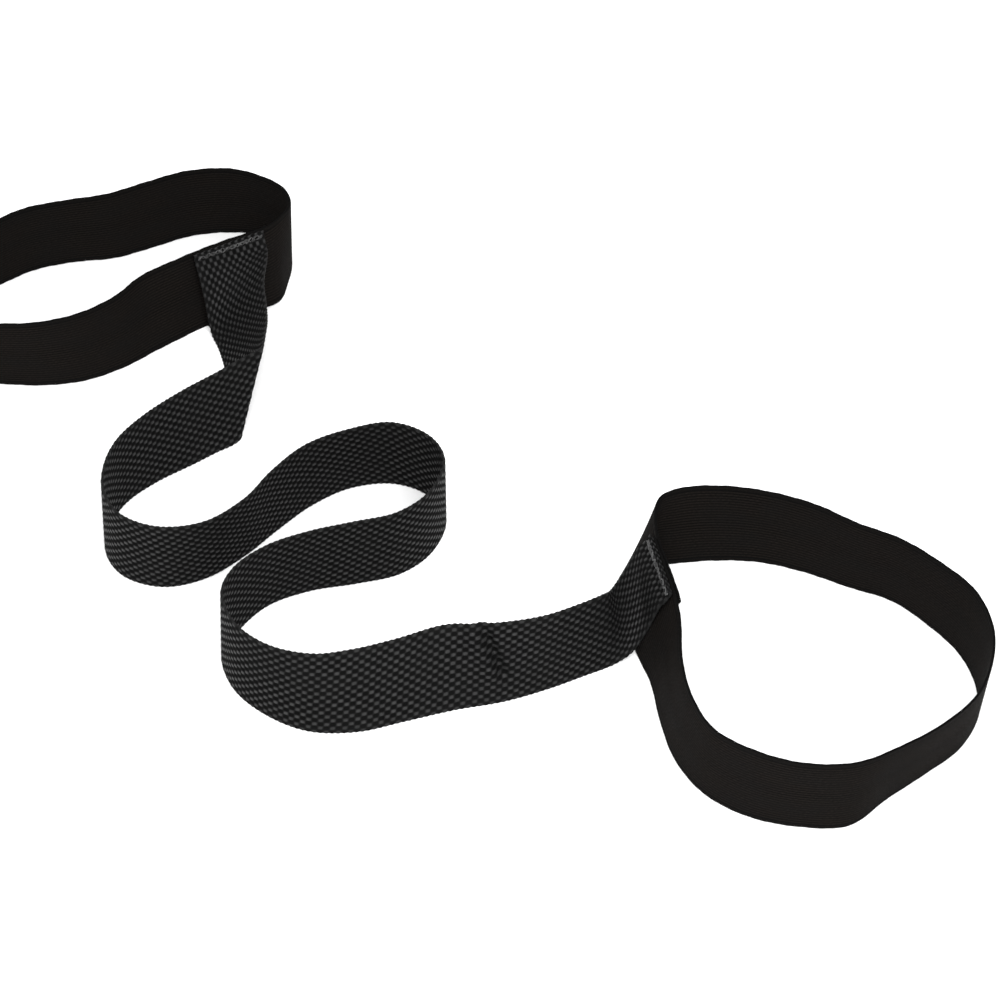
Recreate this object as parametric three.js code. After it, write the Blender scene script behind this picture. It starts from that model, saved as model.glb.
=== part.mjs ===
// A stretching strap: one flat woven webbing strap with an elastic loop sewn to each end.
// It stands on its edge in a serpentine, the way a stiff strap settles when it is laid on a table.
// Millimetres, +Z up. The origin is the centre of the footprint, on the table.
import * as THREE from 'three';

// ---- driving dimensions ----
const WEBBING_WIDTH = 38;
const WEBBING_THICKNESS = 1.4;
const ELASTIC_WIDTH = 38;
const ELASTIC_THICKNESS = 1.2;
const LAYER_GAP = 0.5;
const THREAD_SIZE = 0.6;

// The two ends of an elastic lie over each other under the end of the webbing. This is how far the
// outer end and the inner end run past the middle of the seam, and how soon the layers close up again.
const OUTER_END_PAST = 18;
const INNER_END_PAST = 22;
const LAP_RUN_OUT = 16;

// stitching
const TACK_FROM_EDGE = 3;
const TACK_DEPTH = 2.4;
const TACK_STITCHES = 13;
const LAP_STITCHES = 11;
const LAP_STITCH_DEPTH = 5;
const SEAM_MARGIN = 2;
const STITCH_ROUNDING = 0.15;
const STEPS_PER_STITCH = 4;

// gaps across the strap where one rigid stretch ends and the next begins
const BEND_GAP = 1.2;
const SWING_GAP = 2.2;
const STRETCH_GAP = 0.6;

// The cloth's facets: a step along the strap, and how many there are across it. A twisted strip
// keeps its two faces apart only where the facets across it are small.
const FABRIC_STEP = 6;
const FACETS_ACROSS = 5;

// The whole strap is laid out first, then moved so that the origin is under the middle of it.
const ORIGIN_SHIFT = new THREE.Vector3(40.9, -3.4, 0);

// ---- routes ----
// Each station is the edge of the strap that lies on the table, then the edge that stands up.
// The webbing starts at the left loop. Its first stations lie on the elastic, which comes first.
const LEFT_LOOP = [
  [-128, 133.5, 0, -134, 149.5, 34.5],
  [-110.5, 143.5, 0, -116, 160, 34.5],
  [-107, 155, 0, -109, 165, 37],
  [-105, 171, 0, -104, 174, 38],
  [-108, 187, 0, -108, 187.5, 38],
  [-119, 197, 0, -121, 198, 38],
  [-137, 200, 0, -136, 203.5, 38],
  [-157, 197, 0, -157, 201.5, 38],
  [-176, 187.5, 0, -177, 192, 38],
  [-194, 179, 0, -195, 182.5, 38],
  [-215, 175.5, 0, -216, 177, 38],
  [-234, 169, 0, -235, 170.5, 38],
  [-252, 155.5, 0, -252, 157.5, 38],
  [-269, 145, 0, -270, 145, 38],
  [-282, 128, 0, -284, 128, 38],
  [-284, 107, 0, -286, 106, 38],
  [-272, 90, 0, -273, 88, 38],
  [-256, 82, 0, -256, 80, 38],
  [-239, 81.5, 0, -239, 81, 38],
  [-219, 80.5, 0, -219, 82, 38],
  [-199, 84, 0, -200, 88.5, 38],
  [-181, 94, 0, -184, 102.5, 37],
  [-166, 107, 0, -172, 120.5, 36],
  [-146, 123, 0, -152, 137, 35],
];

const RIGHT_LOOP = [
  [55, -77, 0, 72, -77, 34],
  [60, -98, 0, 76, -98, 34],
  [65, -117, 0, 76, -116, 36],
  [68, -138, 0, 75.5, -136, 37],
  [73.5, -160, 0, 78.5, -158, 38],
  [84.5, -178, 0, 86.5, -176, 38],
  [101.5, -190, 0, 103, -188, 38],
  [122, -195.5, 0, 122, -194.5, 38],
  [142, -195, 0, 143, -194, 38],
  [159, -180.5, 0, 162, -185, 38],
  [176, -167, 0, 180, -173, 38],
  [192, -153, 0, 195.5, -157, 38],
  [202, -135, 0, 204, -137, 38],
  [204, -118, 0, 206.5, -117, 38],
  [199, -98, 0, 201.5, -96, 38],
  [187, -80, 0, 188.5, -79, 38],
  [173, -65.5, 0, 173.5, -65, 38],
  [155, -57, 0, 155.5, -55, 38],
  [136, -47.5, 0, 138, -43, 38],
  [116, -41, 0, 117, -34.5, 38],
  [95, -40, 0, 97, -30, 37],
  [77, -42, 0, 80, -31.5, 37],
  [61, -43.5, 0, 71, -36, 36],
  [51, -56, 0, 68, -56, 34],
];

const WEBBING_BETWEEN_LOOPS = [
  [-144, 125.5, 15, -113.5, 142.5, 29],
  [-141, 117, 2, -114, 123, 29],
  [-137, 108, 0, -112, 108, 29],
  [-132, 90, 0, -110.5, 92, 31],
  [-128, 69, 0, -110.5, 78, 34],
  [-124, 49, 0, -110.5, 68, 37],
  [-122, 42, 0, -111, 63, 38],
  [-125, 37.5, 0, -117, 58.5, 38],
  [-132, 32.5, 0, -131, 47, 37],
  [-142, 24.5, 0, -146, 34, 37],
  [-159, 11.5, 0, -162, 15.5, 38],
  [-171.5, -2.5, 0, -172, -0.5, 38],
  [-177.5, -19, 0, -176, -18, 38],
  [-176, -37, 0, -174.5, -35, 38],
  [-166.5, -50.5, 0, -166, -49.5, 38],
  [-149, -56.5, 0, -149, -57.5, 38],
  [-131, -51, 0, -129, -54.5, 38],
  [-114.5, -36.5, 0, -112, -39.5, 38],
  [-101, -20, 0, -101, -21, 38],
  [-86, -3.5, 0, -87, -4, 38],
  [-69, 8, 0, -69, 6, 38],
  [-49, 11, 0, -49, 11, 38],
  [-33, 3, 0, -32, 2, 38],
  [-25, -14, 0, -25, -14, 38],
  [-31.5, -35.5, 0, -31, -35, 38],
  [-45, -48.5, 0, -45, -48.5, 38],
  [-64, -54.5, 0, -64, -54.5, 38],
  [-84, -59, 0, -83, -60.5, 38],
  [-102, -68, 0, -101, -69.5, 38],
  [-114, -83, 0, -114, -83, 38],
  [-120, -98, 0, -118, -98, 38],
  [-114, -118, 0, -111, -116.5, 38],
  [-100, -133, 0, -96.5, -128, 37],
  [-81, -143, 0, -78, -132, 36],
  [-60, -143.5, 0, -62, -129.5, 36],
  [-40, -137.5, 0, -44, -122.5, 35],
  [-19, -131, 0, -23, -114, 35],
  [2, -126, 0, -2, -114, 36],
  [22, -118, 0, 18, -111, 37],
  [36, -111, 0, 32.5, -104.5, 37],
  [48, -105, 0, 44, -96.5, 35.5],
  [57, -102, 4.9, 48.5, -83.5, 26.5],
  [64, -97, 15, 58, -63, 26],
];

// The end of the webbing lies on the elastic at these shares of the elastic's width, and starts to
// stand off it by the distance that follows.
const TAB_STATIONS = [[0.98, 0], [0.84, 0], [0.76, 0.8]];

// Where the webbing bends as it is used, in stations of WEBBING_BETWEEN_LOOPS.
const LEFT_SWING_STATION = 9.9;
const LEFT_BEND_STATION = 12.1;
const MIDDLE_BEND_STATION = 23;
const RIGHT_BEND_STATION = 30;
const RIGHT_SWING_STATION = 38.4;

// Where the far part of each elastic starts and ends, in stations of its loop.
const LEFT_FAR = [5.6, 14.6];
const RIGHT_FAR = [6.6, 19.4];

// ---- a ribbon of cloth between two edges ----
// how far along, in stations, the way that the cloth runs and its length per station are measured
const WAY_PROBE = 0.02;
const LENGTH_PROBE = 0.1;
const STEPS_PER_STATION = 12;
const FEWEST_STEPS = 8;

class Ribbon {
  constructor(stations, closed) {
    this.count = closed ? stations.length : stations.length - 1;
    this.closed = closed;
    this.edgeDown = this.edge(stations, 0);
    this.edgeUp = this.edge(stations, 3);
  }

  edge(stations, first) {
    const points = stations.map((s) => new THREE.Vector3(s[first], s[first + 1], s[first + 2]));
    return new THREE.CatmullRomCurve3(points, this.closed, 'centripetal');
  }

  // A point in the middle of the cloth, a share of the width up from the lower edge.
  middle(station, share) {
    const wrapped = this.closed ? ((station % this.count) + this.count) % this.count : station;
    const t = THREE.MathUtils.clamp(wrapped / this.count, 0, 1);
    return this.edgeDown.getPoint(t).lerp(this.edgeUp.getPoint(t), share);
  }

  // The same point, moved a distance off the cloth, square to it.
  point(station, share, off) {
    const along = this.middle(station + WAY_PROBE, share).sub(this.middle(station - WAY_PROBE, share));
    const up = this.middle(station, 1).sub(this.middle(station, 0));
    return this.middle(station, share).addScaledVector(along.cross(up).normalize(), off);
  }

  // The length of the cloth from one station to another, along its middle.
  length(from, to) {
    const steps = Math.max(FEWEST_STEPS, Math.ceil((to - from) * STEPS_PER_STATION));
    let total = 0;
    let last = this.point(from, 0.5, 0);
    for (let i = 1; i <= steps; i += 1) {
      const next = this.point(from + ((to - from) * i) / steps, 0.5, 0);
      total += next.distanceTo(last);
      last = next;
    }
    return total;
  }

  // The station a given distance along the cloth from another.
  moved(station, distance) {
    if (distance === 0) {
      return station;
    }
    const probe = station + LENGTH_PROBE * Math.sign(distance);
    const perStation = this.length(Math.min(station, probe), Math.max(station, probe)) / LENGTH_PROBE;
    return station + distance / perStation;
  }
}

// ---- solids ----
// Bends the vertices of a box: its X runs along the cloth, Y through it and Z up it.
function bentStrip(ribbon, from, to, thickness, offset = () => 0) {
  const steps = Math.max(2, Math.ceil(ribbon.length(from, to) / FABRIC_STEP));
  const geometry = new THREE.BoxGeometry(1, thickness, 1, steps, 1, FACETS_ACROSS);
  const position = geometry.attributes.position;
  for (let i = 0; i < position.count; i += 1) {
    const station = from + (position.getX(i) + 0.5) * (to - from);
    const off = offset(station) - position.getY(i);
    const place = ribbon.point(station, position.getZ(i) + 0.5, off).add(ORIGIN_SHIFT);
    // The lower selvedge sits flat on the table, however far the cloth above it leans.
    position.setXYZ(i, place.x, place.y, Math.max(place.z, 0));
  }
  geometry.computeVertexNormals();
  return geometry;
}

// A zigzag of thread, laid on a surface given by place(along, across), both from 0 to 1.
function zigzagThread(place, stitches) {
  const half = THREAD_SIZE / 2;
  const section = new THREE.Shape();
  section.moveTo(-half, -half);
  section.lineTo(half, -half);
  section.lineTo(half, half);
  section.lineTo(-half, half);
  section.closePath();
  const knots = [];
  for (let i = 0; i <= stitches; i += 1) {
    knots.push(place(i / stitches, i % 2).add(ORIGIN_SHIFT));
  }
  const extrudePath = new THREE.CatmullRomCurve3(knots, false, 'catmullrom', STITCH_ROUNDING);
  const steps = stitches * STEPS_PER_STITCH;
  return new THREE.ExtrudeGeometry(section, { steps, extrudePath, bevelEnabled: false });
}

// ---- the two elastic loops ----
const layerPitch = ELASTIC_THICKNESS + LAYER_GAP;
const webbingOff = layerPitch / 2 + ELASTIC_THICKNESS / 2 + LAYER_GAP + WEBBING_THICKNESS / 2;
const threadOff = LAYER_GAP + THREAD_SIZE / 2;

// How far an end of the elastic stands off the middle of the loop, near the lap.
function lapOffset(ribbon, side) {
  return (station) => {
    const wrapped = station > ribbon.count / 2 ? station - ribbon.count : station;
    const distance = Math.sign(wrapped) * ribbon.length(Math.min(0, wrapped), Math.max(0, wrapped));
    const past = distance < 0 ? OUTER_END_PAST : INNER_END_PAST;
    const fade = THREE.MathUtils.smoothstep(Math.abs(distance), past, past + LAP_RUN_OUT);
    return (side * layerPitch * (1 - fade)) / 2;
  };
}

const materials = {
  webbing: new THREE.MeshStandardMaterial({ color: 0x16171a, roughness: 0.62, metalness: 0 }),
  elastic: new THREE.MeshStandardMaterial({ color: 0x121013, roughness: 0.82, metalness: 0 }),
  thread: new THREE.MeshStandardMaterial({ color: 0x3c3c42, roughness: 0.5, metalness: 0 }),
};

const strap = new THREE.Group();

function add(name, geometry, material) {
  const mesh = new THREE.Mesh(geometry, material);
  mesh.name = name;
  strap.add(mesh);
}

// One elastic loop: two arms whose ends lap under the webbing, and the far part.
function addLoop(side, ribbon, far) {
  const outerEnd = ribbon.moved(0, -OUTER_END_PAST);
  const innerEnd = ribbon.count + ribbon.moved(0, INNER_END_PAST);
  const halfGap = ribbon.moved(far[0], STRETCH_GAP / 2) - far[0];
  const firstArm = bentStrip(ribbon, outerEnd, far[0] - halfGap, ELASTIC_THICKNESS, lapOffset(ribbon, 1));
  const lastArm = bentStrip(ribbon, far[1] + halfGap, innerEnd, ELASTIC_THICKNESS, lapOffset(ribbon, -1));
  add(`${side}_elastic_outer_arm`, firstArm, materials.elastic);
  add(`${side}_elastic_inner_arm`, lastArm, materials.elastic);
  const farPart = bentStrip(ribbon, far[0] + halfGap, far[1] - halfGap, ELASTIC_THICKNESS);
  add(`${side}_elastic_far_part`, farPart, materials.elastic);
}

// The threads of one seam. The tack's needle thread lies on the webbing, given by
// onWebbing(along, share of the elastic's width), and its bobbin thread inside the loop.
function addThreads(side, ribbon, onWebbing) {
  const tackShare = (zig) => 1 - (TACK_FROM_EDGE + (zig - 0.5) * TACK_DEPTH) / ELASTIC_WIDTH;
  const tabHalf = WEBBING_WIDTH / 2 - SEAM_MARGIN;
  const inside = -(layerPitch + ELASTIC_THICKNESS) / 2 - threadOff;
  const needle = (along, zig) => onWebbing((along * 2 - 1) * tabHalf, tackShare(zig));
  const bobbin = (along, zig) => {
    return ribbon.point(ribbon.moved(0, (along * 2 - 1) * tabHalf), tackShare(zig), inside);
  };
  add(`${side}_tack_needle_thread`, zigzagThread(needle, TACK_STITCHES), materials.thread);
  add(`${side}_tack_bobbin_thread`, zigzagThread(bobbin, TACK_STITCHES), materials.thread);

  const lowest = SEAM_MARGIN / ELASTIC_WIDTH;
  const highest = 1 - (TACK_FROM_EDGE + TACK_DEPTH + SEAM_MARGIN) / ELASTIC_WIDTH;
  const onLap = (along, zig) => {
    const station = ribbon.moved(0, INNER_END_PAST + (zig - 1.5) * LAP_STITCH_DEPTH);
    return ribbon.point(station, lowest + along * (highest - lowest), inside);
  };
  add(`${side}_lap_thread`, zigzagThread(onLap, LAP_STITCHES), materials.thread);
}

const leftLoop = new Ribbon(LEFT_LOOP, true);
const rightLoop = new Ribbon(RIGHT_LOOP, true);
addLoop('left', leftLoop, LEFT_FAR);
addLoop('right', rightLoop, RIGHT_FAR);

// ---- the webbing ----
// A station of the webbing where it lies across the elastic. Its lower edge is towards one side.
function tabStation(ribbon, [share, lift], side) {
  const half = ribbon.moved(0, WEBBING_WIDTH / 2);
  const low = ribbon.point(-side * half, share, webbingOff + lift);
  const up = ribbon.point(side * half, share, webbingOff + lift);
  return [low.x, low.y, low.z, up.x, up.y, up.z];
}

const leftTab = TAB_STATIONS.map((station) => tabStation(leftLoop, station, 1));
const rightTab = TAB_STATIONS.toReversed().map((station) => tabStation(rightLoop, station, -1));
const webbing = new Ribbon([...leftTab, ...WEBBING_BETWEEN_LOOPS, ...rightTab], false);

// A point on the face of a tab, at a distance along the elastic and a share of the elastic's width.
function onTab(side) {
  const [first, second] = TAB_STATIONS;
  return (distance, share) => {
    const fromEnd = (first[0] - share) / (first[0] - second[0]);
    const station = side > 0 ? fromEnd : webbing.count - fromEnd;
    return webbing.point(station, 0.5 + (side * distance) / WEBBING_WIDTH, WEBBING_THICKNESS / 2 + threadOff);
  };
}

addThreads('left', leftLoop, onTab(1));
addThreads('right', rightLoop, onTab(-1));

const stretches = [
  ['webbing_left_end', LEFT_SWING_STATION, SWING_GAP],
  ['webbing_left_run', LEFT_BEND_STATION, BEND_GAP],
  ['webbing_rear_run', MIDDLE_BEND_STATION, BEND_GAP],
  ['webbing_middle_run', RIGHT_BEND_STATION, BEND_GAP],
  ['webbing_front_run', RIGHT_SWING_STATION, SWING_GAP],
  ['webbing_right_end', Infinity, 0],
];
let start = 0;
for (const [name, cut, gap] of stretches) {
  const station = Math.min(cut + TAB_STATIONS.length, webbing.count);
  const end = webbing.moved(station, -gap / 2);
  add(name, bentStrip(webbing, start, end, WEBBING_THICKNESS), materials.webbing);
  start = webbing.moved(station, gap / 2);
}

export default strap;
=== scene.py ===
"""A stretching strap: one woven webbing strap with an elastic loop sewn to each end.

It stands on its edge in a serpentine, as a stiff strap settles on a table. The CAD holds the size, the
route and the joints, and this script gives the cloth its weave, its selvedges, its seams and its materials.
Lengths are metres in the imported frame: +Z up, the origin on the table under the middle of the strap.
"""
import math
import random

import bpy
import numpy as np
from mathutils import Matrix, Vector


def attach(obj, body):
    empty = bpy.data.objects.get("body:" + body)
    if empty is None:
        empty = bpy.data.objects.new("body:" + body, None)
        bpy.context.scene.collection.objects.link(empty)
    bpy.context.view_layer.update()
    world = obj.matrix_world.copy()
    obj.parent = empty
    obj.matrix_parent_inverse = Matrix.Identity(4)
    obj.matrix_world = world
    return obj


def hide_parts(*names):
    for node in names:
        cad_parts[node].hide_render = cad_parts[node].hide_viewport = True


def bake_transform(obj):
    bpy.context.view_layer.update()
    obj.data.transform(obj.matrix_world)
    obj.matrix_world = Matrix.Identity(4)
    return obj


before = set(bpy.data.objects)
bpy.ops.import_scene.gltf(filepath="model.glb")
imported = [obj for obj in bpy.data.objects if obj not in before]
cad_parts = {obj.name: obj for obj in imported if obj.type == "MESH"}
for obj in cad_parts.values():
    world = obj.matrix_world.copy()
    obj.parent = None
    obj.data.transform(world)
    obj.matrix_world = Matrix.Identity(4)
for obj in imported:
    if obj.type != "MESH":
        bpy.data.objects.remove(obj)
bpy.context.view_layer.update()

MM = 0.001

# ---- driving dimensions, the same as the CAD's ----
CLOTH_WIDTH = 38 * MM
WEBBING_THICKNESS = 1.4 * MM
ELASTIC_THICKNESS = 1.2 * MM
LAYER_GAP = 0.5 * MM
OUTER_END_PAST = 18 * MM
INNER_END_PAST = 22 * MM
LAP_RUN_OUT = 16 * MM
TACK_FROM_EDGE = 3 * MM
TACK_DEPTH = 2.4 * MM
TACK_STITCHES = 13
SEAM_MARGIN = 2 * MM
LAP_STITCH_DEPTH = 5 * MM
LAP_STITCHES = 11
LAYER_PITCH = ELASTIC_THICKNESS + LAYER_GAP
WEBBING_OFF = LAYER_PITCH / 2 + ELASTIC_THICKNESS / 2 + LAYER_GAP + WEBBING_THICKNESS / 2
# The route is laid out first, then moved so that the origin is under the middle of the strap.
ORIGIN_SHIFT = np.array((40.9, -3.4, 0)) * MM

# The webbing is woven of ribs side by side, whose yarns float over and under in a staggered pattern.
WEBBING_RIBS = 21
WEBBING_RIB = CLOTH_WIDTH / WEBBING_RIBS
FLOAT_PITCH = 5.15 * MM
FLOAT_STEPS = 10
STEPS_ACROSS_RIB = 5
WEBBING_RELIEF = 0.34 * MM
FLOAT_ROUNDING = 0.8
WEBBING_DATUM = 0.78
SCALLOP = 0.36 * MM

# The elastic is knitted over rubber cords that run along it, with a plain rolled selvedge.
ELASTIC_RIBS = 25
ELASTIC_SELVEDGE = 2.5 * MM
ELASTIC_RIB = (CLOTH_WIDTH - 2 * ELASTIC_SELVEDGE) / ELASTIC_RIBS
ELASTIC_POINTS_ACROSS = 115
ELASTIC_STEP = 1.35 * MM
KNIT_PITCH = 2 * ELASTIC_STEP
KNIT_SHARE = 0.25
ELASTIC_RELIEF = 0.16 * MM
CORD_ROUNDING = 0.8
ELASTIC_DATUM = 0.9
SELVEDGE_PROUD = 1.1
EDGE_WAVER = 0.3 * MM
LONG_WAVE = 0.0113
SHORT_WAVE = 0.0047

# A stitch is a short rounded strand of the sewing thread.
STITCH_RADIUS = 0.5 * MM
STITCH_SIDES = 8
STITCH_RINGS = 9
STITCH_SINK = 0.1 * MM
THREAD_OFF = 0.1 * MM

# The crease in the front run: a dent with a low bulge on its left. Its place is in stations of
# WEBBING_BETWEEN_LOOPS, and it fades out below the middle of the cloth and weakens towards the top.
CREASE_STATION = 37.27
CREASE_SLANT = 0.44
CREASE_HALF_WIDTH = 2.5 * MM
CREASE_DEPTH = 3.4 * MM
BULGE_HEIGHT = 0.5
BULGE_AWAY = 2.2 * CREASE_HALF_WIDTH
BULGE_HALF_WIDTH = 1.3 * CREASE_HALF_WIDTH
CREASE_FOOT = (-12 * MM, -3 * MM)
CREASE_HEAD = (10 * MM, 19 * MM)
HEAD_LOSS = 0.6

# ---- studio ----
CAMERA_ELEVATION = math.radians(43)
CAMERA_DISTANCE = 1.3
CAMERA_HALF_FIELD = math.radians(10)
SENSOR_WIDTH = 36
TABLE_SIZE = 6
TABLE_WHITE = (0.97, 0.97, 0.97, 1)
WORLD_STRENGTH = 1.3
# each light: its name, place, diameter and power
LIGHTS = [("overhead", (0.15, -0.55, 0.75), 0.7, 9), ("left_key", (-1.3, -0.9, 1.0), 1.0, 4)]

# ---- the route ----
# Each station is the edge of the cloth that lies on the table, then the edge that stands up.
LEFT_LOOP = [
    (-0.128, 0.1335, 0, -0.134, 0.1495, 0.0345), (-0.1105, 0.1435, 0, -0.116, 0.16, 0.0345),
    (-0.107, 0.155, 0, -0.109, 0.165, 0.037), (-0.105, 0.171, 0, -0.104, 0.174, 0.038),
    (-0.108, 0.187, 0, -0.108, 0.1875, 0.038), (-0.119, 0.197, 0, -0.121, 0.198, 0.038),
    (-0.137, 0.2, 0, -0.136, 0.2035, 0.038), (-0.157, 0.197, 0, -0.157, 0.2015, 0.038),
    (-0.176, 0.1875, 0, -0.177, 0.192, 0.038), (-0.194, 0.179, 0, -0.195, 0.1825, 0.038),
    (-0.215, 0.1755, 0, -0.216, 0.177, 0.038), (-0.234, 0.169, 0, -0.235, 0.1705, 0.038),
    (-0.252, 0.1555, 0, -0.252, 0.1575, 0.038), (-0.269, 0.145, 0, -0.27, 0.145, 0.038),
    (-0.282, 0.128, 0, -0.284, 0.128, 0.038), (-0.284, 0.107, 0, -0.286, 0.106, 0.038),
    (-0.272, 0.09, 0, -0.273, 0.088, 0.038), (-0.256, 0.082, 0, -0.256, 0.08, 0.038),
    (-0.239, 0.0815, 0, -0.239, 0.081, 0.038), (-0.219, 0.0805, 0, -0.219, 0.082, 0.038),
    (-0.199, 0.084, 0, -0.2, 0.0885, 0.038), (-0.181, 0.094, 0, -0.184, 0.1025, 0.037),
    (-0.166, 0.107, 0, -0.172, 0.1205, 0.036), (-0.146, 0.123, 0, -0.152, 0.137, 0.035),
]
RIGHT_LOOP = [
    (0.055, -0.077, 0, 0.072, -0.077, 0.034), (0.06, -0.098, 0, 0.076, -0.098, 0.034),
    (0.065, -0.117, 0, 0.076, -0.116, 0.036), (0.068, -0.138, 0, 0.0755, -0.136, 0.037),
    (0.0735, -0.16, 0, 0.0785, -0.158, 0.038), (0.0845, -0.178, 0, 0.0865, -0.176, 0.038),
    (0.1015, -0.19, 0, 0.103, -0.188, 0.038), (0.122, -0.1955, 0, 0.122, -0.1945, 0.038),
    (0.142, -0.195, 0, 0.143, -0.194, 0.038), (0.159, -0.1805, 0, 0.162, -0.185, 0.038),
    (0.176, -0.167, 0, 0.18, -0.173, 0.038), (0.192, -0.153, 0, 0.1955, -0.157, 0.038),
    (0.202, -0.135, 0, 0.204, -0.137, 0.038), (0.204, -0.118, 0, 0.2065, -0.117, 0.038),
    (0.199, -0.098, 0, 0.2015, -0.096, 0.038), (0.187, -0.08, 0, 0.1885, -0.079, 0.038),
    (0.173, -0.0655, 0, 0.1735, -0.065, 0.038), (0.155, -0.057, 0, 0.1555, -0.055, 0.038),
    (0.136, -0.0475, 0, 0.138, -0.043, 0.038), (0.116, -0.041, 0, 0.117, -0.0345, 0.038),
    (0.095, -0.04, 0, 0.097, -0.03, 0.037), (0.077, -0.042, 0, 0.08, -0.0315, 0.037),
    (0.061, -0.0435, 0, 0.071, -0.036, 0.036), (0.051, -0.056, 0, 0.068, -0.056, 0.034),
]
WEBBING_BETWEEN_LOOPS = [
    (-0.144, 0.1255, 0.015, -0.1135, 0.1425, 0.029), (-0.141, 0.117, 0.002, -0.114, 0.123, 0.029),
    (-0.137, 0.108, 0, -0.112, 0.108, 0.029), (-0.132, 0.09, 0, -0.1105, 0.092, 0.031),
    (-0.128, 0.069, 0, -0.1105, 0.078, 0.034), (-0.124, 0.049, 0, -0.1105, 0.068, 0.037),
    (-0.122, 0.042, 0, -0.111, 0.063, 0.038), (-0.125, 0.0375, 0, -0.117, 0.0585, 0.038),
    (-0.132, 0.0325, 0, -0.131, 0.047, 0.037), (-0.142, 0.0245, 0, -0.146, 0.034, 0.037),
    (-0.159, 0.0115, 0, -0.162, 0.0155, 0.038), (-0.1715, -0.0025, 0, -0.172, -0.0005, 0.038),
    (-0.1775, -0.019, 0, -0.176, -0.018, 0.038), (-0.176, -0.037, 0, -0.1745, -0.035, 0.038),
    (-0.1665, -0.0505, 0, -0.166, -0.0495, 0.038), (-0.149, -0.0565, 0, -0.149, -0.0575, 0.038),
    (-0.131, -0.051, 0, -0.129, -0.0545, 0.038), (-0.1145, -0.0365, 0, -0.112, -0.0395, 0.038),
    (-0.101, -0.02, 0, -0.101, -0.021, 0.038), (-0.086, -0.0035, 0, -0.087, -0.004, 0.038),
    (-0.069, 0.008, 0, -0.069, 0.006, 0.038), (-0.049, 0.011, 0, -0.049, 0.011, 0.038),
    (-0.033, 0.003, 0, -0.032, 0.002, 0.038), (-0.025, -0.014, 0, -0.025, -0.014, 0.038),
    (-0.0315, -0.0355, 0, -0.031, -0.035, 0.038), (-0.045, -0.0485, 0, -0.045, -0.0485, 0.038),
    (-0.064, -0.0545, 0, -0.064, -0.0545, 0.038), (-0.084, -0.059, 0, -0.083, -0.0605, 0.038),
    (-0.102, -0.068, 0, -0.101, -0.0695, 0.038), (-0.114, -0.083, 0, -0.114, -0.083, 0.038),
    (-0.12, -0.098, 0, -0.118, -0.098, 0.038), (-0.114, -0.118, 0, -0.111, -0.1165, 0.038),
    (-0.1, -0.133, 0, -0.0965, -0.128, 0.037), (-0.081, -0.143, 0, -0.078, -0.132, 0.036),
    (-0.06, -0.1435, 0, -0.062, -0.1295, 0.036), (-0.04, -0.1375, 0, -0.044, -0.1225, 0.035),
    (-0.019, -0.131, 0, -0.023, -0.114, 0.035), (0.002, -0.126, 0, -0.002, -0.114, 0.036),
    (0.022, -0.118, 0, 0.018, -0.111, 0.037), (0.036, -0.111, 0, 0.0325, -0.1045, 0.037),
    (0.048, -0.105, 0, 0.044, -0.0965, 0.0355), (0.057, -0.102, 0.0049, 0.0485, -0.0835, 0.0265),
    (0.064, -0.097, 0.015, 0.058, -0.063, 0.026),
]
# The ends of the webbing lie on the elastic at these shares of its width, this far off it.
TAB_STATIONS = [(0.98, 0), (0.84, 0), (0.76, 0.8 * MM)]

# Each stretch of webbing: its name, the station of WEBBING_BETWEEN_LOOPS where it ends, the bodies that
# it joins, where it starts and ends turning from one to the other, and the CAD nodes it stands for.
WEBBING_STRETCHES = [
    ("woven_left_end", 11, ("left_loop", "left_run"), (-0.1109, 0.0213, 0), (-0.1253, 0.0021, 0),
     ["webbing_left_end"]),
    ("woven_left_turn", 17.6, ("left_run", "rear_run"), (-0.1425, -0.0149, 0), (-0.1325, -0.0323, 0),
     ["webbing_left_run"]),
    ("woven_rear_turn", 26.6, ("rear_run", "middle_run"), (0.0125, -0.0052, 0), (0.0205, -0.0299, 0),
     ["webbing_rear_run"]),
    ("woven_front_turn", 34.5, ("middle_run", "front_run"), (-0.0836, -0.0893, 0), (-0.076, -0.1133, 0),
     ["webbing_middle_run"]),
    ("woven_right_end", None, ("front_run", "right_loop"), (0.0545, -0.1182, 0), (0.0784, -0.111, 0),
     ["webbing_front_run", "webbing_right_end"]),
]


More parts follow.
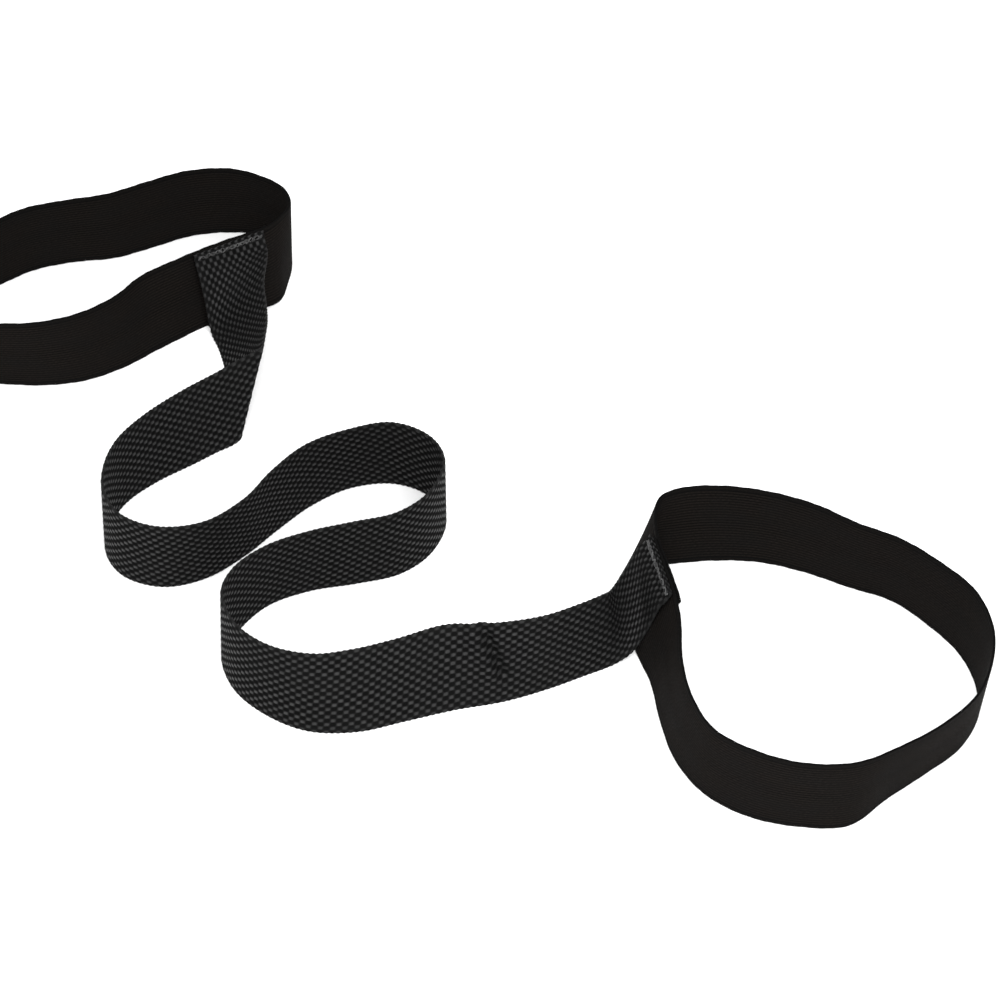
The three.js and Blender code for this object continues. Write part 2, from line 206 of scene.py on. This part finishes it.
# ---- camera, light and table ----
def add_stage():
    """The camera at the angle of the strap's picture, a pale table and soft light from all round."""
    back, up = math.cos(CAMERA_ELEVATION), math.sin(CAMERA_ELEVATION)
    camera = bpy.data.objects.new("camera", bpy.data.cameras.new("camera"))
    camera.data.sensor_width = SENSOR_WIDTH
    camera.data.lens = SENSOR_WIDTH / 2 / math.tan(CAMERA_HALF_FIELD)
    camera.location = Vector(ORIGIN_SHIFT) + CAMERA_DISTANCE * Vector((0, -back, up))
    camera.rotation_euler = (math.radians(90) - CAMERA_ELEVATION, 0, 0)
    bpy.context.scene.collection.objects.link(camera)
    bpy.context.scene.camera = camera

    bpy.ops.mesh.primitive_plane_add(size=TABLE_SIZE, location=(0, 0, 0))
    table = bpy.context.object
    table.name = "table"
    paint = bpy.data.materials.new("table")
    paint.use_nodes = True
    surface = paint.node_tree.nodes["Principled BSDF"]
    surface.inputs["Base Color"].default_value = TABLE_WHITE
    surface.inputs["Roughness"].default_value = 0.9
    surface.inputs["Specular IOR Level"].default_value = 0.2
    table.data.materials.append(paint)

    world = bpy.data.worlds.new("studio")
    bpy.context.scene.world = world
    world.use_nodes = True
    background = world.node_tree.nodes["Background"]
    background.inputs["Color"].default_value = (1, 1, 1, 1)
    background.inputs["Strength"].default_value = WORLD_STRENGTH
    for name, place, size, power in LIGHTS:
        light = bpy.data.objects.new(name, bpy.data.lights.new(name, "AREA"))
        light.data.shape = "DISK"
        light.data.size = size
        light.data.energy = power
        light.location = place
        light.rotation_euler = (-Vector(place)).to_track_quat("-Z", "Y").to_euler()
        bpy.context.scene.collection.objects.link(light)
    bpy.context.scene.view_settings.view_transform = "Standard"


# ---- a ribbon of cloth between two edges ----
def catmull_rom(points, closed, stations):
    """Places on a centripetal Catmull-Rom curve, where station 0 is the first point and 1 the next."""
    count = len(points)
    first = np.floor(stations).astype(int)
    if not closed:
        first = np.clip(first, 0, count - 2)
    share = (stations - first)[:, None]
    if closed:
        p0, p1, p2, p3 = (points[(first + k) % count] for k in (-1, 0, 1, 2))
    else:
        padded = np.vstack((2 * points[0] - points[1], points, 2 * points[-1] - points[-2]))
        p0, p1, p2, p3 = (padded[first + k] for k in (0, 1, 2, 3))
    d0, d1, d2 = (
        np.sqrt(np.linalg.norm(b - a, axis=1))[:, None] for a, b in ((p0, p1), (p1, p2), (p2, p3))
    )
    out = ((p1 - p0) / d0 - (p2 - p0) / (d0 + d1) + (p2 - p1) / d1) * d1
    into = ((p2 - p1) / d1 - (p3 - p1) / (d1 + d2) + (p3 - p2) / d2) * d1
    return (
        p1
        + out * share
        + (-3 * p1 + 3 * p2 - 2 * out - into) * share**2
        + (2 * p1 - 2 * p2 + out + into) * share**3
    )


def unit(vectors):
    return vectors / np.linalg.norm(vectors, axis=-1, keepdims=True)


class Ribbon:
    """A strip of cloth between a lower and an upper edge, each a smooth curve through the stations."""

    PER_STATION = 40
    PROBE = 0.02

    def __init__(self, stations, closed, spare=0.0):
        """spare is how many stations the strip runs past both ends of a closed loop."""
        points = np.array(stations, float)
        self.closed = closed
        self.low_points, self.up_points = points[:, :3], points[:, 3:]
        self.count = len(points) if closed else len(points) - 1
        last = self.count + spare
        self.table = np.linspace(-spare, last, int((last + spare) * self.PER_STATION) + 1)
        low, up = self.edges(self.table)
        self.low_length, self.middle_length, self.up_length = (
            np.concatenate(([0], np.cumsum(np.linalg.norm(np.diff(line, axis=0), axis=1))))
            for line in (low, (low + up) / 2, up)
        )
        for length in (self.low_length, self.middle_length, self.up_length):
            length -= np.interp(0, self.table, length)

    def edges(self, stations):
        """The points of the lower and the upper edge at each station."""
        return (
            catmull_rom(self.low_points, self.closed, stations),
            catmull_rom(self.up_points, self.closed, stations),
        )

    def length_at(self, station):
        """Length along the middle of the cloth from station 0."""
        return np.interp(station, self.table, self.middle_length)

    def station_at(self, length):
        """The station at a length along the middle of the cloth."""
        return np.interp(length, self.middle_length, self.table)

    def face(self, stations, shares):
        """The way the face looks at each station and share of the width up from the lower edge."""
        before, after = stations - self.PROBE, stations + self.PROBE
        if not self.closed:
            before, after = (np.clip(s, 0, self.count) for s in (before, after))
        (low, up), (low_a, up_a), (low_b, up_b) = (self.edges(s) for s in (stations, before, after))
        shares = shares[:, None]
        along = (low_b - low_a) * (1 - shares) + (up_b - up_a) * shares
        return unit(np.cross(along, up - low))

    def points(self, stations, shares, offs):
        """Points at each station, share of the width up from the lower edge and distance off the face."""
        low, up = self.edges(stations)
        return low + (up - low) * shares[:, None] + self.face(stations, shares) * offs[:, None]


def smooth(x, start, end):
    """0 up to start and 1 from end on, with an easy change between them."""
    t = np.clip((x - start) / (end - start), 0, 1)
    return t * t * (3 - 2 * t)


# ---- cloth meshes ----
def add_piece(name, points, faces, smooth_faces, places):
    """A mesh piece, whose attribute cloth_place keeps each vertex's place for the material."""
    mesh = bpy.data.meshes.new(name)
    mesh.from_pydata(np.asarray(points).tolist(), [], faces)
    mesh.polygons.foreach_set("use_smooth", smooth_faces)
    kept = mesh.attributes.new("cloth_place", "FLOAT_VECTOR", "POINT")
    kept.data.foreach_set("vector", np.asarray(places, np.float32).ravel())
    mesh.update()
    piece = bpy.data.objects.new(name, mesh)
    bpy.context.scene.collection.objects.link(piece)
    return piece


def cross_section(half_thickness, interior):
    """The cloth's section as (distance across, share of the thickness, side) once round: the lower
    selvedge, up the front, the upper selvedge and down the back. Both selvedges are rounded."""
    straight = CLOTH_WIDTH / 2 - half_thickness
    corner = [math.radians(angle) for angle in (30, 60)]
    rounded = [(straight + half_thickness * math.sin(angle), math.cos(angle)) for angle in corner]
    front = (
        [(-v, t) for v, t in reversed(rounded)]
        + [(v, 1) for v in np.linspace(-straight, straight, interior)]
        + rounded
    )
    return (
        [(-CLOTH_WIDTH / 2, 0, 1)]
        + [(v, t, 1) for v, t in front]
        + [(CLOTH_WIDTH / 2, 0, -1)]
        + [(v, t, -1) for v, t in reversed(front)]
    )


def cloth(name, ribbon, lengths, half_thickness, interior, relief, offset=None, crease=None):
    """A closed strip of cloth with a column of vertices at each length along it.

    relief(along, across, side) gives (how far the surface stands proud, how far the edge draws in) and
    offset(station) and crease(along, across) move the whole cloth off the middle of the ribbon. Each
    vertex's cloth_place is its place along and across the flat cloth, and its relief."""
    section = np.array(cross_section(half_thickness, interior))
    columns, ring = len(lengths), len(section)
    stations = ribbon.station_at(lengths)
    across, thick, side = (np.tile(section[:, k], columns) for k in range(3))
    station = np.repeat(stations, ring)
    low_along = np.interp(station, ribbon.table, ribbon.low_length)
    up_along = np.interp(station, ribbon.table, ribbon.up_length)
    share = across / CLOTH_WIDTH + 0.5
    along = low_along + (up_along - low_along) * share
    proud, drawn = relief(along, across, side)
    off = side * thick * (half_thickness + proud)
    if offset is not None:
        off = off + np.repeat(offset(stations), ring)
    if crease is not None:
        off = off + crease(along, across)
    width_share = (across - np.sign(across) * drawn) / CLOTH_WIDTH + 0.5
    place = ribbon.points(station, width_share, off) + ORIGIN_SHIFT
    place[:, 2] = np.maximum(place[:, 2], 0)

    index = np.arange(columns * ring).reshape(columns, ring)
    around = np.roll(index, -1, axis=1)
    walls = np.stack((index[:-1], index[1:], around[1:], around[:-1]), axis=-1).reshape(-1, 4)
    half = ring // 2
    rung = np.arange(1, half - 1)
    faces = walls.tolist()
    for column, forward in ((0, True), (columns - 1, False)):
        row = index[column]
        caps = [[row[j], row[j + 1], row[ring - j - 1], row[ring - j]] for j in rung]
        caps.append([row[0], row[1], row[ring - 1]])
        caps.append([row[half - 1], row[half], row[half + 1]])
        faces += [[int(v) for v in (cap if forward else reversed(cap))] for cap in caps]
    smooth_faces = np.arange(len(faces)) < len(walls)
    return add_piece(name, place, faces, smooth_faces, np.stack((along, across, proud), axis=-1))


def float_wave(along, across):
    """1 in the middle of a yarn that floats on the front and -1 where it lies on the back."""
    return np.cos(np.pi * across / WEBBING_RIB) * np.cos(2 * np.pi * along / FLOAT_PITCH)


def webbing_relief(along, across, side):
    """Staggered floats on both faces, and a selvedge that draws in between the weft's turns."""
    wave = side * float_wave(along, across)
    edge = smooth(np.abs(across), CLOTH_WIDTH / 2 - 0.9 * WEBBING_RIB, CLOTH_WIDTH / 2)
    flattened = 1 - 0.6 * edge
    proud = WEBBING_RELIEF * ((0.5 + 0.5 * wave) ** FLOAT_ROUNDING - WEBBING_DATUM) * flattened
    beat = 0.5 - 0.5 * np.cos(4 * np.pi * along / FLOAT_PITCH)
    return proud, SCALLOP * beat * edge


def elastic_relief(along, across, side):
    """Ribs over the cords, knitted in a stagger, and a rolled selvedge that wavers a little."""
    inner = CLOTH_WIDTH / 2 - ELASTIC_SELVEDGE
    ribs = np.abs(np.cos(np.pi * across / ELASTIC_RIB)) ** CORD_ROUNDING
    stagger = np.pi * np.round(across / ELASTIC_RIB)
    knit = 0.5 + 0.5 * np.cos(2 * np.pi * along / KNIT_PITCH + stagger)
    body = ELASTIC_RELIEF * (ribs * (1 - KNIT_SHARE + KNIT_SHARE * knit) - ELASTIC_DATUM)
    roll = np.clip((np.abs(across) - inner) / ELASTIC_SELVEDGE, 0, 1)
    selvedge = ELASTIC_RELIEF * (SELVEDGE_PROUD * np.sin(np.pi * roll) - ELASTIC_DATUM)
    proud = np.where(np.abs(across) < inner, body, selvedge)
    turn = along * 2 * np.pi
    waver = 0.5 + 0.3 * np.sin(turn / LONG_WAVE) + 0.2 * np.sin(turn / SHORT_WAVE + 1)
    return proud, EDGE_WAVER * waver * smooth(np.abs(across), inner, CLOTH_WIDTH / 2)


def front_crease(ribbon):
    """A soft slanting crease in the front run, where the cloth has once been folded."""
    middle = ribbon.length_at(CREASE_STATION + len(TAB_STATIONS))

    def crease(along, across):
        beside = along - middle + CREASE_SLANT * across
        dent = np.exp(-((beside / CREASE_HALF_WIDTH) ** 2))
        bulge = np.exp(-(((beside + BULGE_AWAY) / BULGE_HALF_WIDTH) ** 2))
        fade = smooth(across, *CREASE_FOOT) * (1 - HEAD_LOSS * smooth(across, *CREASE_HEAD))
        return CREASE_DEPTH * (BULGE_HEIGHT * bulge - dent) * fade

    return crease


def lap_offset(ribbon):
    """The elastic's two ends lie over each other where they lap, one in front and one behind."""

    def offset(stations):
        lengths = ribbon.length_at(stations)
        whole = ribbon.length_at(ribbon.count)
        outer = 1 - smooth(lengths, INNER_END_PAST, INNER_END_PAST + LAP_RUN_OUT)
        inner = 1 - smooth(whole - lengths, OUTER_END_PAST, OUTER_END_PAST + LAP_RUN_OUT)
        return LAYER_PITCH / 2 * (outer - inner)

    return offset


# ---- materials ----
class Nodes:
    """Short names for the nodes that the materials are made of."""

    def __init__(self, name):
        self.material = bpy.data.materials.new(name)
        self.material.use_nodes = True
        self.tree = self.material.node_tree
        self.surface = self.tree.nodes["Principled BSDF"]

    def link(self, value, socket):
        if isinstance(value, bpy.types.NodeSocket):
            self.tree.links.new(value, socket)
        else:
            socket.default_value = value

    def add(self, kind, output, settings=(), **inputs):
        """A node's output. An input is given by its name, or by its number after an i."""
        node = self.tree.nodes.new(kind)
        for key, value in dict(settings).items():
            setattr(node, key, value)
        for key, value in inputs.items():
            self.link(value, node.inputs[int(key[1:]) if key[1:].isdigit() else key.replace("_", " ")])
        return node.outputs[output]

    def math(self, operation, a, b=0.0):
        return self.add("ShaderNodeMath", 0, {"operation": operation}, i0=a, i1=b)

    def ramp(self, value, from_low, from_high, to_low=0.0, to_high=1.0):
        return self.add(
            "ShaderNodeMapRange", 0, {"interpolation_type": "SMOOTHSTEP"},
            i0=value, i1=from_low, i2=from_high, i3=to_low, i4=to_high,
        )

    def mix(self, share, a, b):
        node = self.tree.nodes.new("ShaderNodeMix")
        node.data_type = "RGBA"
        self.link(share, node.inputs["Factor"])
        self.link(a, node.inputs[6])
        self.link(b, node.inputs[7])
        return node.outputs[2]

    def place(self):
        """The place on the flat cloth: along, across and relief, in metres."""
        vector = self.add("ShaderNodeAttribute", "Vector", {"attribute_name": "cloth_place"})
        split = self.tree.nodes.new("ShaderNodeSeparateXYZ")
        self.link(vector, split.inputs[0])
        return split.outputs[0], split.outputs[1], split.outputs[2]

    def stretched_noise(self, along, across, along_scale, across_scale):
        where = self.add(
            "ShaderNodeCombineXYZ", 0,
            i0=self.math("MULTIPLY", along, along_scale), i1=self.math("MULTIPLY", across, across_scale),
        )
        return self.add("ShaderNodeTexNoise", 0, Vector=where, Scale=1.0, Detail=2.0)

    def bump(self, height, distance, strength):
        return self.add("ShaderNodeBump", 0, Height=height, Distance=distance, Strength=strength)


def grey(value, warm=0.0):
    """A grey, or a slightly brown one where warm is above 0."""
    return (value * (1 + warm), value, value * (1 - warm * 0.6), 1)


def webbing_material():
    """Black nylon: satin yarn floats that catch the light, with a painted highlight on their tops, painted
    shade in the gaps between them, and fine filaments along them.
    """
    n = Nodes("webbing")
    along, across, proud = n.place()
    # floats is the mask of the float tops. Through the colour below, it paints a highlight on the tops and
    # shade in the gaps, and it also sets roughness and specular.
    floats = n.ramp(proud, -0.13 * MM, 0.07 * MM)
    filaments = n.stretched_noise(along, across, 700, 9000)
    yarns = n.stretched_noise(along, across, 350, 500)
    patches = n.stretched_noise(along, across, 60, 60)
    lit = n.mix(n.math("MULTIPLY", filaments, 0.9), grey(0.0125), grey(0.036))
    lit = n.mix(n.ramp(yarns, 0.4, 0.7), lit, grey(0.012))
    # Painted shade: the gaps between the floats are painted near black where their self-shadow falls. The
    # float tops take the lighter lit colour as a painted highlight.
    colour = n.mix(floats, grey(0.0028), lit)
    colour = n.mix(n.ramp(patches, 0.35, 0.65, 0.0, 0.25), colour, grey(0.006))
    edge = n.ramp(n.math("ABSOLUTE", across), 14.5 * MM, 17.5 * MM, 0.0, 0.55)
    colour = n.mix(edge, colour, grey(0.006))
    n.link(colour, n.surface.inputs["Base Color"])
    n.link(n.ramp(floats, 0.0, 1.0, 0.9, 0.5), n.surface.inputs["Roughness"])
    n.link(n.ramp(floats, 0.2, 1.0, 0.015, 0.15), n.surface.inputs["Specular IOR Level"])
    n.link(n.bump(filaments, 0.12 * MM, 0.5), n.surface.inputs["Normal"])
    return n.material


def elastic_material():
    """Matte black knit over rubber cords, a little warm, with fine stitches across the cords."""
    n = Nodes("elastic")
    along, across, proud = n.place()
    # cords is the mask of the cord ridges. Through the colour below, it paints the grooves between the
    # cords darker as painted shade.
    cords = n.ramp(proud, -0.12 * MM, 0.02 * MM)
    stitches = n.stretched_noise(along, across, 900, 1600)
    patches = n.stretched_noise(along, across, 45, 90)
    selvedge = n.ramp(n.math("ABSOLUTE", across), 15.6 * MM, 17.2 * MM)
    lit = n.mix(stitches, grey(0.002, 0.2), grey(0.0105, 0.25))
    # Painted shade: the grooves between the cords are painted darker than the lit ridges, where their
    # shadow falls.
    colour = n.mix(cords, grey(0.0015, 0.1), lit)
    colour = n.mix(n.ramp(patches, 0.35, 0.7, 0.0, 0.35), colour, grey(0.004))
    colour = n.mix(n.math("MULTIPLY", selvedge, 0.65), colour, grey(0.002))
    n.link(colour, n.surface.inputs["Base Color"])
    n.link(n.ramp(stitches, 0.2, 0.8, 0.95, 0.78), n.surface.inputs["Roughness"])
    n.link(n.bump(stitches, 0.15 * MM, 0.6), n.surface.inputs["Normal"])
    n.surface.inputs["Specular IOR Level"].default_value = 0.035
    return n.material


def thread_material():
    """Grey sewing thread, twisted from fine plies and dulled unevenly where it sinks into the cloth."""
    n = Nodes("thread")
    along, across, worn = n.place()
    twist = n.math("SINE", n.math("ADD", n.math("MULTIPLY", along, 9000), n.math("MULTIPLY", across, 6.3)))
    clean = n.mix(n.ramp(twist, -1, 1), grey(0.035), grey(0.1))
    n.link(n.mix(worn, clean, grey(0.012)), n.surface.inputs["Base Color"])
    n.link(n.ramp(twist, -1, 1, 0.8, 0.6), n.surface.inputs["Roughness"])
    n.link(n.bump(twist, 0.08 * MM, 0.6), n.surface.inputs["Normal"])
    n.surface.inputs["Specular IOR Level"].default_value = 0.2
    return n.material


# ---- the strap ----
def tab_station(ribbon, share, lift, side):
    """A station of the webbing where its end lies across the elastic, lift metres off it."""
    half = ribbon.station_at(CLOTH_WIDTH / 2)
    ends = np.array((-side * half, side * half))
    low, up = ribbon.points(ends, np.full(2, share), np.full(2, WEBBING_OFF + lift))
    return (*low, *up)


def add_elastic(side, ribbon):
    """One elastic loop, lapped at the seam."""
    whole = ribbon.length_at(ribbon.count)
    first, last = -OUTER_END_PAST, whole + INNER_END_PAST
    steps = round((last - first) / ELASTIC_STEP)
    lengths = np.linspace(first, last, steps + 1)
    piece = cloth(
        f"knit_{side}_elastic", ribbon, lengths, ELASTIC_THICKNESS / 2, ELASTIC_POINTS_ACROSS,
        elastic_relief, offset=lap_offset(ribbon),
    )
    piece.data.materials.append(elastic)
    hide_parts(*(f"{side}_elastic_{part}" for part in ("outer_arm", "inner_arm", "far_part")))
    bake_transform(piece)


def add_webbing(ribbon):
    """The webbing in stretches that meet inside the rigid bodies, where no joint can open them. Each cut
    is a whole number of half floats from the end, so that the weave runs on across it."""
    half_float = FLOAT_PITCH / 2
    interior = WEBBING_RIBS * STEPS_ACROSS_RIB + 1
    crease = front_crease(ribbon)
    start = 0
    for name, cut, (a, b), bend_start, bend_end, nodes in WEBBING_STRETCHES:
        if cut is None:
            end = ribbon.length_at(ribbon.count)
        else:
            end = half_float * round(ribbon.length_at(cut + len(TAB_STATIONS)) / half_float)
        steps = round((end - start) / (FLOAT_PITCH / FLOAT_STEPS))
        lengths = np.linspace(start, end, steps + 1)
        piece = cloth(name, ribbon, lengths, WEBBING_THICKNESS / 2, interior, webbing_relief, crease=crease)
        piece.data.materials.append(webbing)
        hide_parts(*nodes)
        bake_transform(piece)
        start = end


def add_stitches(name, body, knots, out, node, seed):
    """One thread of stitches between knots, each a rounded strand that dives into the cloth at its ends.

    No two are alike: each has its own thickness, slack, lean and wear. A vertex's cloth_place is its
    place along and round the thread, and the stitch's wear. out is the way off the cloth at each knot."""
    random.seed(seed)
    points, faces, places = [], [], []
    run = 0.0
    for k, (a, b, away) in enumerate(zip(knots[:-1], knots[1:], out)):
        line = b - a
        length = np.linalg.norm(line)
        way = line / length
        sideways = np.cross(away, way)
        size = STITCH_RADIUS * random.uniform(0.7, 1.2)
        arch = random.uniform(0.12, 0.4) * MM
        lean = random.uniform(-0.5, 0.5) * MM
        wear = min(1.0, random.uniform(0, 0.7) ** 2 + 0.35 - 0.35 * math.sin(0.55 * k + seed))
        first = len(points)
        for ring in range(STITCH_RINGS):
            t = ring / (STITCH_RINGS - 1)
            swell = math.sin(math.pi * t)
            middle = a + line * (0.03 + 0.94 * t) + away * (arch * swell - STITCH_SINK)
            middle = middle + sideways * lean * swell
            fat = size * (0.45 + 0.55 * swell**0.5)
            for corner in range(STITCH_SIDES):
                angle = 2 * math.pi * corner / STITCH_SIDES
                around = math.cos(angle) * sideways + 0.8 * math.sin(angle) * away
                points.append(middle + fat * around)
                places.append((run + t * length, angle / (2 * math.pi), wear))
        for ring in range(STITCH_RINGS - 1):
            for corner in range(STITCH_SIDES):
                p = first + ring * STITCH_SIDES + corner
                q = first + ring * STITCH_SIDES + (corner + 1) % STITCH_SIDES
                faces.append((p, q, q + STITCH_SIDES, p + STITCH_SIDES))
        faces.append([first + c for c in reversed(range(STITCH_SIDES))])
        faces.append([first + (STITCH_RINGS - 1) * STITCH_SIDES + c for c in range(STITCH_SIDES)])
        run += length
    piece = add_piece(name, points, faces, np.ones(len(faces), bool), places)
    piece.data.materials.append(thread)
    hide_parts(node)
    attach(piece, body)


def tack_places(seed):
    """Where the tack's needle goes through: distances along the elastic, and down from its top edge.

    The tack is sewn there and back, so its two zigzags cross and close up to an uneven band."""
    random.seed(seed)
    half = CLOTH_WIDTH / 2 - SEAM_MARGIN
    lengths, drops = [], []
    for back in (False, True):
        for k in range(TACK_STITCHES + 1):
            zig = k % 2 - 0.5
            along = half * (2 * k / TACK_STITCHES - 1) + random.uniform(-0.6, 0.6) * MM
            lengths.append(-along if back else along)
            drops.append(TACK_FROM_EDGE + zig * TACK_DEPTH * random.uniform(0.5, 1))
    return np.array(lengths), np.array(drops)


def add_seams(side, ribbon, tape, tape_side, seed):
    """The tack that holds the webbing's end on the elastic, seen on both faces, and the lap's stitching."""
    lengths, drops = tack_places(seed)
    shares = 1 - drops / CLOTH_WIDTH
    # On the webbing, the distance along the elastic is the distance across the webbing's end.
    from_end = (TAB_STATIONS[0][0] - shares) / (TAB_STATIONS[0][0] - TAB_STATIONS[1][0])
    stations = from_end if tape_side > 0 else tape.count - from_end
    tape_shares = 0.5 + tape_side * lengths / CLOTH_WIDTH
    off = np.full(len(lengths), WEBBING_THICKNESS / 2 + THREAD_OFF)
    add_stitches(
        f"{side}_tack_needle_stitches", f"{side}_loop",
        tape.points(stations, tape_shares, off) + ORIGIN_SHIFT, tape.face(stations, tape_shares),
        f"{side}_tack_needle_thread", seed + 1,
    )
    inside = -(LAYER_PITCH + ELASTIC_THICKNESS) / 2 - THREAD_OFF
    stations = ribbon.station_at(lengths)
    add_stitches(
        f"{side}_tack_bobbin_stitches", f"{side}_loop",
        ribbon.points(stations, shares, np.full(len(lengths), inside)) + ORIGIN_SHIFT,
        -ribbon.face(stations, shares), f"{side}_tack_bobbin_thread", seed + 2,
    )
    row = np.arange(LAP_STITCHES + 1)
    lowest = SEAM_MARGIN / CLOTH_WIDTH
    highest = 1 - (TACK_FROM_EDGE + TACK_DEPTH + SEAM_MARGIN) / CLOTH_WIDTH
    shares = lowest + (highest - lowest) * row / LAP_STITCHES
    lengths = INNER_END_PAST - LAP_STITCH_DEPTH + (row % 2 - 0.5) * LAP_STITCH_DEPTH
    stations = ribbon.station_at(lengths)
    add_stitches(
        f"{side}_lap_stitches", f"{side}_loop",
        ribbon.points(stations, shares, np.full(len(row), inside)) + ORIGIN_SHIFT,
        -ribbon.face(stations, shares), f"{side}_lap_thread", seed + 3,
    )


add_stage()
webbing = webbing_material()
elastic = elastic_material()
thread = thread_material()

left_loop = Ribbon(LEFT_LOOP, True, spare=1.5)
right_loop = Ribbon(RIGHT_LOOP, True, spare=1.5)
left_tab = [tab_station(left_loop, share, lift, 1) for share, lift in TAB_STATIONS]
right_tab = [tab_station(right_loop, share, lift, -1) for share, lift in reversed(TAB_STATIONS)]
tape = Ribbon(left_tab + WEBBING_BETWEEN_LOOPS + right_tab, False)
add_webbing(tape)
add_elastic("left", left_loop)
add_elastic("right", right_loop)
add_seams("left", left_loop, tape, tape_side=1, seed=10)
add_seams("right", right_loop, tape, tape_side=-1, seed=20)
